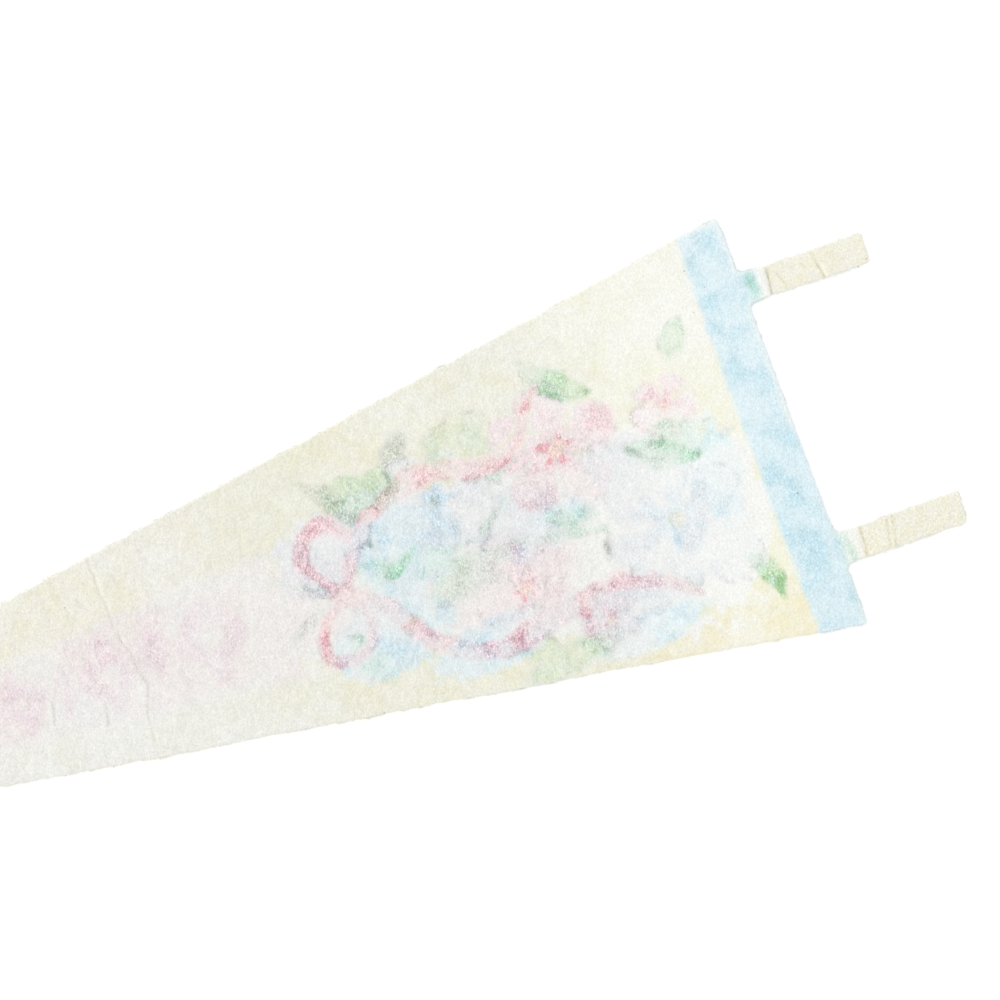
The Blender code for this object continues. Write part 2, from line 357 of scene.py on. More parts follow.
def leaf(u, v, start, end, width, bend=0.0, fullest=0.45):
    """A pointed leaf from start to end, bent sideways in the middle."""
    a, b = np.array(start, float), np.array(end, float)
    w = b - a
    length = float(np.hypot(*w))
    w /= length
    x = ((u - a[0]) * w[0] + (v - a[1]) * w[1]) / length
    y = -(u - a[0]) * w[1] + (v - a[1]) * w[0]
    y = y - bend * 4 * x * (1 - x)
    t = np.clip(x, 0.0, 1.0)
    full = np.where(t < fullest, np.sin(np.pi / 2 * t / fullest), np.cos(np.pi / 2 * (t - fullest) / (1 - fullest)) ** 0.8)
    past = np.maximum(np.maximum(-x, x - 1), 0.0) * length
    return (width / 2 * full - np.abs(y)) * 0.9 - past


def stroke(u, v, points, widths):
    """A soft ribbon or stem through points, with its width at each of them."""
    p, w = np.array(points, float), np.array(widths, float)
    n = len(p)
    fine, wide = [], []
    for i in range(n - 1):  # a smooth curve through the points
        p0, p1, p2, p3 = p[max(i - 1, 0)], p[i], p[i + 1], p[min(i + 2, n - 1)]
        for t in np.linspace(0.0, 1.0, 14, endpoint=False):
            fine.append(
                0.5 * (2 * p1 + (p2 - p0) * t + (2 * p0 - 5 * p1 + 4 * p2 - p3) * t**2 + (3 * p1 - p0 - 3 * p2 + p3) * t**3)
            )
            wide.append(w[i] + (w[i + 1] - w[i]) * t)
    fine.append(p[-1])
    wide.append(w[-1])
    best = np.full(len(u), -99.0)
    for a, b, wa, wb in zip(fine, fine[1:], wide, wide[1:]):
        d = b - a
        t = np.clip(((u - a[0]) * d[0] + (v - a[1]) * d[1]) / max(float(d @ d), 1e-9), 0.0, 1.0)
        gone = np.hypot(u - a[0] - t * d[0], v - a[1] - t * d[1])
        best = np.maximum(best, (wa + (wb - wa) * t) / 2 - gone)
    return best


def lozenge(u, v, at, half_long, half_wide):
    x, y = np.abs(u - at[0]) / half_long, np.abs(v - at[1]) / half_wide
    return (1 - x - y) * half_long * half_wide / math.hypot(half_long, half_wide)


def disc(u, v, at, size):
    return size - np.hypot(u - at[0], v - at[1])


def patch(u, v, at, long, wide, turn=0.0, seed=5):
    """A loose brushed patch of colour."""
    a = math.radians(turn)
    x, y = (u - at[0]) * math.cos(a) + (v - at[1]) * math.sin(a), -(u - at[0]) * math.sin(a) + (v - at[1]) * math.cos(a)
    rough = 0.22 * field_noise(u, v, 5.0, seed) + 0.12 * field_noise(u, v, 2.0, seed + 1)
    return (1 - np.hypot(x / long, y / wide) + rough) * min(long, wide)


FLOWERS = (
    {"ink": "pink", "at": (-66.0, 15.0), "size": 19.0, "petals": 5, "turn": 12.0},
    {"ink": "haze", "at": (-40.0, -15.0), "size": 21.0, "petals": 6, "turn": 20.0},
    {"ink": "pink", "at": (-86.0, -20.0), "size": 14.5, "petals": 5, "turn": -40.0},
    {"ink": "haze", "at": (-102.0, 12.0), "size": 15.5, "petals": 6, "turn": 0.0},
    {"ink": "pink", "at": (-33.0, 16.0), "size": 9.6, "petals": 5, "turn": 50.0},
    {"ink": "aqua", "at": (-119.0, -17.0), "size": 12.5, "petals": 5, "turn": 5.0},
    {"ink": "pink", "at": (-66.0, -36.0), "size": 8.5, "petals": 5, "turn": 30.0},
)

LEAVES = (
    {"ink": "green", "from": (-81.0, 10.0), "to": (-88.0, 32.0), "width": 9.5, "bend": 2.0},
    {"ink": "leaf", "from": (-48.0, 8.0), "to": (-25.0, 2.0), "width": 8.0, "bend": -2.0},
    {"ink": "leaf", "from": (-50.0, 27.0), "to": (-68.0, 41.0), "width": 9.0, "bend": 2.0},
    {"ink": "green", "from": (-60.0, -6.0), "to": (-74.0, -1.0), "width": 8.0, "bend": 1.5},
    {"ink": "leaf", "from": (-26.0, -30.0), "to": (-17.5, -46.0), "width": 7.5, "bend": 2.0},
    {"ink": "green", "from": (-96.0, -26.0), "to": (-80.0, -42.0), "width": 8.5, "bend": -1.5},
    {"ink": "green", "from": (-27.0, 25.0), "to": (-20.0, 39.0), "width": 6.5, "bend": 1.0},
    {"ink": "leaf", "from": (-126.0, -3.0), "to": (-110.0, 1.0), "width": 5.5, "bend": 1.0},
    {"ink": "green", "from": (-116.0, 15.0), "to": (-132.0, 26.0), "width": 7.5, "bend": 1.5},
    {"ink": "green", "from": (-138.0, -14.0), "to": (-128.0, -33.0), "width": 6.5, "bend": 1.0},
    {"ink": "dusk", "from": (-62.0, -21.0), "to": (-51.0, -6.0), "width": 4.5, "bend": 1.0},
    {"ink": "dusk", "from": (-122.0, 4.0), "to": (-137.0, 30.0), "width": 7.0, "bend": -2.5},
    {"ink": "dusk", "from": (-112.0, 20.0), "to": (-104.0, 34.0), "width": 6.5, "bend": 1.5},
)

STEMS = (
    {"ink": "green", "points": ((-138.0, -3.0), (-124.0, 1.0), (-104.0, -3.0), (-84.0, 6.0), (-70.0, 12.0)), "widths": (1.6, 1.8, 2.2, 2.2, 1.6)},
    {"ink": "green", "points": ((-138.0, -4.0), (-122.0, -5.0), (-98.0, -6.0), (-70.0, -9.0), (-48.0, -13.0)), "widths": (1.6, 1.8, 2.4, 2.2, 1.6)},
    {"ink": "green", "points": ((-138.0, -5.0), (-128.0, -9.0), (-112.0, -12.0), (-96.0, -16.0)), "widths": (1.4, 1.6, 1.8, 1.4)},
    {"ink": "green", "points": ((-136.0, -2.0), (-146.0, 2.0), (-154.0, 7.0)), "widths": (1.6, 1.8, 1.2)},
    {"ink": "green", "points": ((-136.0, -5.0), (-145.0, -8.0), (-153.0, -13.0)), "widths": (1.6, 1.8, 1.2)},
    {"ink": "dusk", "points": ((-94.0, -4.0), (-88.0, 3.0), (-86.0, 14.0)), "widths": (0.8, 1.6, 0.8)},
    {"ink": "dusk", "points": ((-47.0, 8.0), (-42.0, 3.0), (-32.0, 1.0)), "widths": (0.8, 1.6, 0.8)},
)

RIBBONS = (  # the bow and its two long ends
    {"ink": "rose", "points": ((-134.0, -3.0), (-128.0, 6.0), (-130.5, 15.0), (-139.0, 15.5), (-142.0, 7.0), (-135.5, -2.0)), "widths": (2.2, 3.6, 4.4, 4.4, 3.4, 2.2)},
    {"ink": "rose", "points": ((-134.0, -4.0), (-130.0, -13.0), (-134.5, -21.0), (-143.0, -19.5), (-143.0, -10.5), (-136.0, -5.0)), "widths": (2.2, 3.4, 4.2, 4.2, 3.2, 2.2)},
    {"ink": "rose", "points": ((-134.0, -3.0), (-124.0, -12.0), (-112.0, -27.0), (-96.0, -33.0), (-76.0, -29.0), (-56.0, -27.0), (-38.0, -36.0)), "widths": (2.4, 4.6, 5.2, 6.2, 6.6, 5.0, 1.2)},
    {"ink": "rose", "points": ((-134.0, -3.0), (-127.0, 8.0), (-116.0, 17.0), (-100.0, 21.0), (-88.0, 17.0), (-76.0, 20.0), (-66.0, 33.0)), "widths": (2.4, 4.4, 5.2, 6.0, 5.6, 4.0, 1.2)},
)

# loose patches of colour brushed in round the flowers: ink, place, half sizes, turn
WASHES = (
    ("haze", (-30.0, -24.0), 10.0, 13.0, 0.0),
    ("haze", (-60.0, -33.0), 14.0, 8.0, 8.0),
    ("haze", (-84.0, 0.0), 14.0, 11.0, 10.0),
    ("haze", (-136.0, 8.0), 15.0, 11.0, 0.0),
    ("haze", (-48.0, 5.0), 13.0, 7.0, -15.0),
    ("aqua", (-126.0, -18.0), 16.0, 11.0, 20.0),
    ("aqua", (-98.0, -31.0), 22.0, 7.0, 8.0),
    ("aqua", (-114.0, 3.0), 16.0, 12.0, 0.0),
    ("aqua", (-25.0, -6.0), 7.5, 15.0, 0.0),
    ("aqua", (-56.0, -42.0), 15.0, 5.0, 6.0),
    ("aqua", (-75.0, -6.0), 12.0, 6.0, 20.0),
    ("blush", (-90.0, -15.0), 20.0, 12.0, 10.0),
    ("blush", (-152.0, -3.0), 22.0, 12.5, 0.0),
    ("green", (-80.0, -42.0), 14.0, 4.0, 8.0),
    ("green", (-92.0, 27.0), 10.0, 5.0, 20.0),
    ("green", (-120.0, 21.0), 12.0, 6.0, -10.0),
    ("green", (-30.0, 6.0), 11.0, 5.0, -10.0),
    ("green", (-100.0, -11.0), 13.0, 5.0, 15.0),
)
GLOW = (((-40.0, -16.0), 27.0, 30.0), ((-84.0, -9.0), 36.0, 27.0), ((-124.0, -4.0), 32.0, 24.0))  # no yellow was printed here

ROW_FROM, ROW_TO = -166.0, -352.0  # the row of lozenges along the narrow part
ROW_MIDDLE = -0.1  # where the row's middle lies, as a share of half the pennant's width there
HEAD_BAND = 13.55  # width of the blue band along the head


def row_motifs():
    """Wide and narrow lozenges in turn along the middle, each set by the width of the pennant where it lies."""
    motifs, at, turn = [], ROW_FROM - 8.0, 0
    while at > ROW_TO:
        wide = HEAD_WIDTH / 2 * (1 + at / RUN)
        if turn % 2 == 0:
            motifs.append(("large", (at, ROW_MIDDLE * wide), wide * 0.34, wide * 0.42))
            at -= wide * 0.46
        else:
            motifs.append(("small", (at, ROW_MIDDLE * wide), wide * 0.13, wide * 0.28))
            at -= wide * 0.46
        turn += 1
    return motifs


def inks(u, v):
    """Depth of every ink's shapes at each point."""
    far = np.full(len(u), -20.0)
    names = ("blush", "pink", "rose", "haze", "aqua", "green", "leaf", "dusk", "row", "pale", "line", "heart")
    out = {name: far.copy() for name in names}

    def add(name, depth):
        out[name] = np.maximum(out[name], depth)

    # the drawing has crept a little with the soaking
    a = u + 1.5 * field_noise(u, v, 9.0, 61) + 0.8 * field_noise(u, v, 3.6, 62)
    b = v + 1.5 * field_noise(u, v, 9.0, 63) + 0.8 * field_noise(u, v, 3.6, 64)
    covered = far.copy()
    tied = far.copy()  # the bow lies over everything
    for row in RIBBONS:
        depth = stroke(a, b, row["points"], row["widths"])
        add(row["ink"], depth)
        tied = np.maximum(tied, depth)
    add("rose", disc(a, b, (-135.0, -3.5), 3.6))
    tied = np.maximum(tied, disc(a, b, (-135.0, -3.5), 3.6))
    for row in FLOWERS:
        depth = np.minimum(flower(a, b, row["at"], row["size"], row["petals"], row["turn"]), -tied - 0.7)
        add(row["ink"], depth)
        covered = np.maximum(covered, disc(a, b, row["at"], row["size"] * 0.9))
        add("line", np.minimum(petal_lines(a, b, row["at"], row["size"], row["petals"], row["turn"]), -tied - 0.7))
        add("heart", disc(a, b, row["at"], row["size"] * 0.12))
        x, y = a - row["at"][0], b - row["at"][1]
        r, way = np.hypot(x, y), np.arctan2(y, x)
        if row["ink"] == "pink":  # a deeper ring round the middle, which runs out along the petals
            ring = row["size"] * (0.2 + 0.1 * np.cos(row["petals"] * (way - math.radians(row["turn"]))))
            add("rose", np.minimum(np.minimum(ring - r, r - row["size"] * 0.1) - 0.7, -tied - 0.7))
        if row["ink"] == "haze":
            ring = row["size"] * (0.34 + 0.14 * np.cos(row["petals"] * (way - math.radians(row["turn"]))))
            add("aqua", np.minimum(ring - r - 0.5, -tied - 0.7))
    blocked = np.maximum(covered, tied)
    for row in LEAVES:
        depth = leaf(a, b, row["from"], row["to"], row["width"], row["bend"])
        add(row["ink"], np.minimum(depth, -blocked - 0.5) if row["ink"] != "leaf" else np.minimum(depth, -tied - 0.7))
        if row["ink"] != "dusk":
            add("line", np.minimum(leaf(a, b, row["from"], row["to"], 1.0, row["bend"]), -blocked - 0.3))
    for row in STEMS:
        add(row["ink"], np.minimum(stroke(a, b, row["points"], row["widths"]), -blocked - 0.5 if row["ink"] != "dusk" else -tied - 0.7))

    for kind, at, half_long, half_wide in row_motifs():
        depth = lozenge(a, b, at, half_long, half_wide)
        if kind == "large":
            depth = np.minimum(depth, -lozenge(a, b, at, half_long * 0.3, half_wide * 0.3))
        add("row", depth)
    across = np.abs(v / (HEAD_WIDTH / 2 * np.maximum(0.05, 1 + u / RUN)) - ROW_MIDDLE)
    stripe = np.minimum((0.49 - across) * 25, np.minimum((ROW_FROM + 14 - u), u - (ROW_TO - 4)))
    add("pale", stripe)
    add("blush", stripe - 0.5)
    for at, long, wide in GLOW:
        add("pale", patch(u, v, at, long, wide, 0.0, 17))
    for k, (name, at, long, wide, turn) in enumerate(WASHES):
        add(name, patch(u, v, at, long, wide, turn, 21 + 2 * k))
    out["band"] = u + HEAD_BAND + 0.75 * v / 60 + 0.3 * field_noise(u, v, 4.0, 51) + 0.35 * field_noise(u, v, 14.0, 52)
    return out


# ---------------------------------------------------------------------------------------------------------------
# the mesh
# ---------------------------------------------------------------------------------------------------------------
def inside(points, polygon):
    """Which points lie inside a closed line."""
    x, y = points[:, 0], points[:, 1]
    hit = np.zeros(len(points), bool)
    ends = np.roll(polygon, -1, axis=0)
    order = np.argsort(x)
    xs = x[order]
    for (ax, ay), (bx, by) in zip(polygon, ends):
        if ax == bx:
            continue
        lo_x, hi_x = (ax, bx) if ax < bx else (bx, ax)
        i, j = np.searchsorted(xs, lo_x, "right"), np.searchsorted(xs, hi_x, "right")
        pick = order[i:j]
        hit[pick] ^= y[pick] < ay + (by - ay) * (x[pick] - ax) / (bx - ax)
    return hit


def scatter(cut, normal, fold_lines):
    """Points inside the cut: rings that round its edge, close rows along each fold, and an even grid."""
    tree = kdtree.KDTree(len(cut))
    for i, (a, b) in enumerate(cut):
        tree.insert((a, b, 0.0), i)
    tree.balance()

    def gap(p):
        return np.array([tree.find((a, b, 0.0))[2] for a, b in p])

    rings = [(cut - normal * RINGS[0]), (cut - normal * RINGS[1])[::2]]
    kept = [ring[(gap(ring) > 0.8 * depth) & inside(ring, cut)] for ring, depth in zip(rings, RINGS)]

    rows = []
    for q in fold_lines:
        way = np.gradient(q, axis=0)
        way /= np.linalg.norm(way, axis=1)[:, None]
        side = np.stack([way[:, 1], -way[:, 0]], axis=1)
        run = np.concatenate([[0.0], np.cumsum(np.linalg.norm(np.diff(q, axis=0), axis=1))])
        for k, off in enumerate((0.0, 0.22, -0.22, 0.46, -0.46, 0.8, -0.8)):
            at = np.arange(0.2 * (k % 2), run[-1], 0.42)
            rows.append(np.stack([np.interp(at, run, (q + side * off)[:, c]) for c in (0, 1)], axis=1))
    rows = np.vstack(rows)
    rows = rows[inside(rows, cut)]
    rows = rows[gap(rows) > 0.7]

    lo, hi = cut.min(axis=0), cut.max(axis=0)
    grid = []
    for j, a in enumerate(np.arange(lo[0], hi[0], GRID_STEP * math.sqrt(3) / 2)):
        b = np.arange(lo[1] + (GRID_STEP / 2 if j % 2 else 0.0), hi[1], GRID_STEP)
        grid.append(np.stack([np.full(len(b), a), b], axis=1))
    grid = np.vstack(grid)
    grid += rng.normal(0.0, 0.05, grid.shape)
    grid = grid[inside(grid, cut)]
    grid = grid[gap(grid) > 0.95]
    fine = kdtree.KDTree(len(rows))
    for i, (a, b) in enumerate(rows):
        fine.insert((a, b, 0.0), i)
    fine.balance()
    grid = grid[np.array([fine.find((a, b, 0.0))[2] > 0.5 for a, b in grid])]
    return np.vstack(kept + [rows, grid])


def clean(points, apart):
    """The points, without those that lie almost on an earlier one."""
    tree = kdtree.KDTree(len(points))
    for i, (a, b) in enumerate(points):
        tree.insert((a, b, 0.0), i)
    tree.balance()
    keep = np.ones(len(points), bool)
    for i, (a, b) in enumerate(points):
        if keep[i]:
            for _, k, _ in tree.find_range((a, b, 0.0), apart):
                if k > i:
                    keep[k] = False
    return points[keep]


def sheet_mesh():
    cut, normal = outline()
    fold_lines = [line_points(fold) for fold in FOLDS]
    inner = clean(scatter(cut, normal, fold_lines), 0.16)
    everything = np.vstack([cut, inner])
    n = len(cut)
    edges = [(i, (i + 1) % n) for i in range(n)]
    made = delaunay_2d_cdt([Vector(p) for p in everything], edges, [], 1, 1e-5, True)
    points = np.array([tuple(p) for p in made[0]])
    source = np.array([ids[0] if ids else -1 for ids in made[3]])
    faces = np.array([f for f in made[2] if len(f) == 3], int)
    a, b, c = (points[faces[:, k]] for k in range(3))
    turn = (b[:, 0] - a[:, 0]) * (c[:, 1] - a[:, 1]) - (b[:, 1] - a[:, 1]) * (c[:, 0] - a[:, 0])
    faces[turn < 0] = faces[turn < 0][:, ::-1]
    middle = points[faces].mean(axis=1)
    faces = faces[(np.abs(turn) > 1e-9) & inside(middle, cut)]
    if (source < 0).any():
        raise RuntimeError("the cut crosses itself")

    u, v = points[:, 0], points[:, 1]
    tree = kdtree.KDTree(n)
    for i, (x, y) in enumerate(cut):
        tree.insert((x, y, 0.0), i)
    tree.balance()
    depth = np.array([tree.find((x, y, 0.0))[2] for x, y in points])
    depth[source < n] = 0.0

    lift = fold_lift(u, v) + tab_lift(u, v)
    # along each fold: dirt and painted crease shade on the line, and a painted highlight beside it where its ridge
    # would catch the light
    groove, dirt_and_shade, painted_highlight = np.zeros(len(u)), np.zeros(len(u)), np.zeros(len(u))
    for k, (fold, q) in enumerate(zip(FOLDS, fold_lines)):
        dist, side, share = near_line(u, v, q)
        uneven = 0.75 + 0.5 * field_noise(u, v, 2.7, 80 + k)
        dirt_and_shade_share = highlight_share = 1.0
        if fold["line"] == "middle":
            fade = 1.0
            dirt_and_shade_share = np.interp(v, *zip(*MIDDLE_DIRT_AND_SHADE))
            highlight_share = np.interp(v, *zip(*MIDDLE_HIGHLIGHT))
        else:
            fade = smooth_step(0.0, 0.12, share) * smooth_step(0.0, 0.12, 1 - share) if abs(fold["height"]) < 0.07 else 1.0
        groove += fold["height"] * np.exp(-((dist / fold["reach"]) ** 2)) * uneven * fade
        dirt_and_shade = np.maximum(dirt_and_shade, fold["dirt_and_shade"] * dirt_and_shade_share * np.exp(-((dist / 0.42) ** 2)) * np.clip(uneven, 0.2, 1.2) * fade)
        # painted highlight: the felt on one side of the fold is painted lighter, as the lit side of its ridge
        beside = np.exp(-(((dist - abs(fold["painted_highlight_at"])) / 0.4) ** 2)) * (side * fold["painted_highlight_at"] > 0)
        painted_highlight = np.maximum(painted_highlight, fold["painted_highlight"] * highlight_share * beside * np.clip(uneven, 0.2, 1.2) * fade)

    t = np.clip(depth / (EDGE_ROUND * 1.6), 0.0, 1.0)
    fall = 1 - np.sqrt(np.maximum(0.0, 1 - (1 - t) ** 2))
    bumps = relief(u, v) * smooth_step(0.0, 1.2, depth) + groove
    top = lift + THICKNESS + bumps - EDGE_ROUND * fall
    bottom = np.maximum(lift, 0.0) + 0.5 * np.clip(groove, 0.0, 1.0) + EDGE_ROUND * 0.55 * fall

    count = len(points)
    ring = {int(s): i for i, s in enumerate(source) if s < n}
    rim = np.array([ring[i] for i in range(n)])
    x = (u + HEAD_X) / 1000
    y = (v + HEAD_Y) / 1000
    verts = np.vstack([np.stack([x, y, top / 1000], 1), np.stack([x, y, bottom / 1000], 1)])
    tris = [faces, faces[:, ::-1] + count]

    # the cut edge: two rows of points between the faces, a little proud and ragged
    layers, last, extra = [rim], rim, []
    for share, proud in ((0.66, 0.03), (0.3, 0.025)):
        z = bottom[rim] + (top[rim] - bottom[rim]) * share
        wiggle = proud + 0.04 * wave_noise(int(share * 100), n * EDGE_STEP / 0.8, n)
        wiggle[(v[rim] > HEAD_HALF["+Y"] - 0.8) | (v[rim] < -HEAD_HALF["-Y"] + 0.8)] = 0.0
        extra.append(np.stack([x[rim] + normal[:, 0] * wiggle / 1000, y[rim] + normal[:, 1] * wiggle / 1000, z / 1000], 1))
        layers.append(np.arange(n) + 2 * count + len(extra) * n - n)
    layers.append(rim + count)
    for upper, lower in zip(layers, layers[1:]):
        a, b = upper, np.roll(upper, -1)
        c, d = lower, np.roll(lower, -1)
        tris += [np.stack([a, c, b], 1), np.stack([b, c, d], 1)]
    verts = np.vstack([verts] + extra)
    tris = np.vstack(tris)

    fields = {name: depth_of for name, depth_of in inks(u, v).items()}
    # the folds' dirt and painted shade, and their painted highlight, go with the mesh as attributes
    fields.update({"dirt_and_shade": dirt_and_shade, "painted_highlight": painted_highlight, "margin": depth})
    values = {name: np.concatenate([f, f] + [f[rim]] * len(extra)) for name, f in fields.items()}
    upper_face = np.concatenate([np.ones(count), np.zeros(count), np.full(n, 0.8), np.full(n, 0.35)])
    values["face"] = upper_face

    mesh = bpy.data.meshes.new("pennant_felt")
    mesh.from_pydata([tuple(p) for p in verts], [], [tuple(int(k) for k in f) for f in tris])
    mesh.update()
    for name, f in values.items():
        layer = mesh.attributes.new(name, "FLOAT", "POINT")
        layer.data.foreach_set("value", f.astype(np.float32))
    mesh.polygons.foreach_set("use_smooth", np.ones(len(mesh.polygons), bool))
    edge = {name: f[rim] for name, f in fields.items()}
    edge.update({"low": bottom[rim], "high": top[rim]})
    return mesh, cut, normal, edge


def fibre_mesh(cut, normal, edge):
    """Fibre ends that stand out of the cut: thin closed spikes, a little bent, in loose clumps."""
    r = np.random.default_rng(977)
    n = len(cut)
    weight = np.clip(0.55 + 0.6 * wave_noise(901, n * EDGE_STEP / 2.3, n) + 0.3 * wave_noise(902, n * EDGE_STEP / 17.0, n), 0.12, 2.0)
    i = r.choice(n, FIBRES, p=weight / weight.sum())
    j = (i + 1) % n
    t = r.uniform(0.0, 1.0, FIBRES)[:, None]
    out = normal[i]
    along = np.stack([-out[:, 1], out[:, 0]], axis=1)
    lean, bend = r.normal(0.0, 0.8, FIBRES), r.normal(0.0, 0.35, FIBRES)
    reach = np.clip(r.gamma(2.2, 0.22, FIBRES) + r.gamma(2.0, 0.3, FIBRES) * (r.uniform(0.0, 1.0, FIBRES) < 0.25), 0.12, 2.0)
    share = r.uniform(0.15, 0.92, FIBRES)
    z = edge["low"][i] + (edge["high"][i] - edge["low"][i]) * share
    rise = r.normal(0.02, 0.2, FIBRES) * reach
    way = out + along * lean[:, None]
    way /= np.linalg.norm(way, axis=1)[:, None]
    base = cut[i] * (1 - t) + cut[j] * t - out * 0.16
    side = np.stack([-way[:, 1], way[:, 0]], axis=1)
    rows = []
    for along_way, radius in ((0.0, 0.026), (0.58, 0.018), (1.0, 0.0)):
        spot = base + way * (0.16 + reach * along_way)[:, None] * (along_way > 0) + side * (bend * reach * along_way**2)[:, None]
        height = np.maximum(z + rise * along_way**1.5, 0.05)
        if radius == 0.0:
            rows.append([np.stack([spot[:, 0], spot[:, 1], height], axis=1)])
            continue
        ring = []
        for a in (90.0, 210.0, 330.0):
            c, d = math.cos(math.radians(a)) * radius, math.sin(math.radians(a)) * radius
            ring.append(np.stack([spot[:, 0] + side[:, 0] * c, spot[:, 1] + side[:, 1] * c, height + d], axis=1))
        rows.append(ring)
    parts = np.stack(rows[0] + rows[1] + rows[2], axis=1)  # seven points for each fibre
    shape = [(0, 2, 1)]
    for k in range(3):
        m = (k + 1) % 3
        shape += [(k, m, m + 3), (k, m + 3, k + 3), (k + 3, m + 3, 6)]
    verts = parts.reshape(-1, 3)
    verts = np.stack([(verts[:, 0] + HEAD_X) / 1000, (verts[:, 1] + HEAD_Y) / 1000, verts[:, 2] / 1000], axis=1)
    tris = (np.arange(FIBRES)[:, None, None] * 7 + np.array(shape)[None]).reshape(-1, 3)

    mesh = bpy.data.meshes.new("felt_fibres")
    mesh.from_pydata([tuple(p) for p in verts], [], [tuple(int(k) for k in f) for f in tris])
    mesh.update()
    values = {name: np.repeat(f[i], 7) for name, f in edge.items() if name not in ("low", "high")}
    values["face"] = values["loose"] = np.ones(len(verts))
    for name, f in values.items():
        layer = mesh.attributes.new(name, "FLOAT", "POINT")
        layer.data.foreach_set("value", f.astype(np.float32))
    return mesh


# ---------------------------------------------------------------------------------------------------------------
# materials
# ---------------------------------------------------------------------------------------------------------------
class Nodes:
    """Short names for the shader nodes that the felt is made of."""

    def __init__(self, tree):
        self.tree = tree

    def put(self, kind, **settings):
        made = self.tree.nodes.new(kind)
        for key, value in settings.items():
            setattr(made, key, value)
        return made

    def feed(self, socket, value):
        if isinstance(value, bpy.types.NodeSocket):
            self.tree.links.new(value, socket)
        else:
            socket.default_value = value

    def math(self, operation, a, b=0.0, c=None, clamp=False):
        made = self.put("ShaderNodeMath", operation=operation, use_clamp=clamp)
        self.feed(made.inputs[0], a)
        self.feed(made.inputs[1], b)
        if c is not None:
            self.feed(made.inputs[2], c)
        return made.outputs[0]

    def span(self, value, low_in, high_in, low_out=0.0, high_out=1.0, soft=True):
        made = self.put("ShaderNodeMapRange", interpolation_type="SMOOTHSTEP" if soft else "LINEAR", clamp=True)
        for k, item in enumerate((value, low_in, high_in, low_out, high_out)):
            self.feed(made.inputs[k], item)
        return made.outputs[0]

    def noise(self, vector, scale, detail=2.0, rough=0.5, distortion=0.0, colour=False):
        made = self.put("ShaderNodeTexNoise", noise_dimensions="3D", normalize=True)
        self.feed(made.inputs["Vector"], vector)
        for key, value in (("Scale", scale), ("Detail", detail), ("Roughness", rough), ("Distortion", distortion)):
            made.inputs[key].default_value = value
        return made.outputs["Color" if colour else "Fac"]

    def mix(self, share, a, b, blend="MIX"):
        made = self.put("ShaderNodeMix", data_type="RGBA", blend_type=blend, clamp_factor=True)
        self.feed(made.inputs[0], share)
        for socket, value in ((made.inputs[6], a), (made.inputs[7], b)):
            self.feed(socket, (*value, 1.0) if isinstance(value, tuple) else value)
        return made.outputs[2]

    def field(self, name):
        return self.put("ShaderNodeAttribute", attribute_type="GEOMETRY", attribute_name=name).outputs["Fac"]


def level(*rgb):
    """Display values from 0 to 255, as linear light."""
    return tuple((c / 255 / 12.92) if c <= 10 else ((c / 255 + 0.055) / 1.055) ** 2.4 for c in rgb)


LIGHT = 1.155  # how much light falls on the felt: its colours are what shows, divided by this
FELT_WHITE = (247, 248, 245)  # the clean felt by the head
FELT_AGED = (237, 237, 235)  # the narrow part, which has been handled
PRINTED = (240, 241, 239)  # the felt between the two, where most of the print lies


def tint(*rgb, over=FELT_WHITE):
    """A colour laid over another as what it leaves of each colour of its light."""
    return tuple(min(1.03, a / b) for a, b in zip(level(*rgb), level(*over)))


# ink: colour where it has soaked through fully, how much of that shows, how far its edge has spread, which drift it follows
INKS = (
    {"name": "haze", "colour": (232, 235, 237), "deep": (221, 226, 231), "shows": 0.95, "spread": 1.3, "drift": 0},
    {"name": "aqua", "colour": (228, 240, 244), "deep": (207, 230, 239), "shows": 0.95, "spread": 1.4, "drift": 1},
    {"name": "blush", "colour": (241, 235, 234), "deep": (238, 229, 230), "shows": 0.9, "spread": 2.6, "drift": 2},
    {"name": "row", "colour": (239, 232, 234), "deep": (235, 225, 229), "shows": 0.85, "spread": 1.0, "drift": 3},
    {"name": "pink", "colour": (241, 228, 229), "deep": (237, 213, 216), "shows": 1.0, "spread": 1.1, "drift": 4},
    {"name": "rose", "colour": (241, 213, 216), "deep": (228, 172, 181), "shows": 1.0, "spread": 0.9, "drift": 5},
    {"name": "green", "colour": (222, 235, 224), "deep": (200, 222, 206), "shows": 1.0, "spread": 1.3, "drift": 2},
    {"name": "leaf", "colour": (206, 229, 210), "deep": (163, 205, 170), "shows": 1.0, "spread": 0.9, "drift": 0},
    {"name": "dusk", "colour": (206, 212, 208), "deep": (142, 147, 144), "shows": 1.0, "spread": 1.0, "drift": 1},
)
PRINT_SIDE = {  # what the inks look like on the printed face, which lies underneath
    "haze": (176, 196, 214),
    "aqua": (126, 190, 214),
    "blush": (238, 200, 200),
    "row": (222, 96, 132),
    "pink": (240, 158, 164),
    "rose": (214, 58, 78),
    "green": (84, 160, 104),
    "leaf": (52, 142, 70),
    "dusk": (84, 104, 94),
}

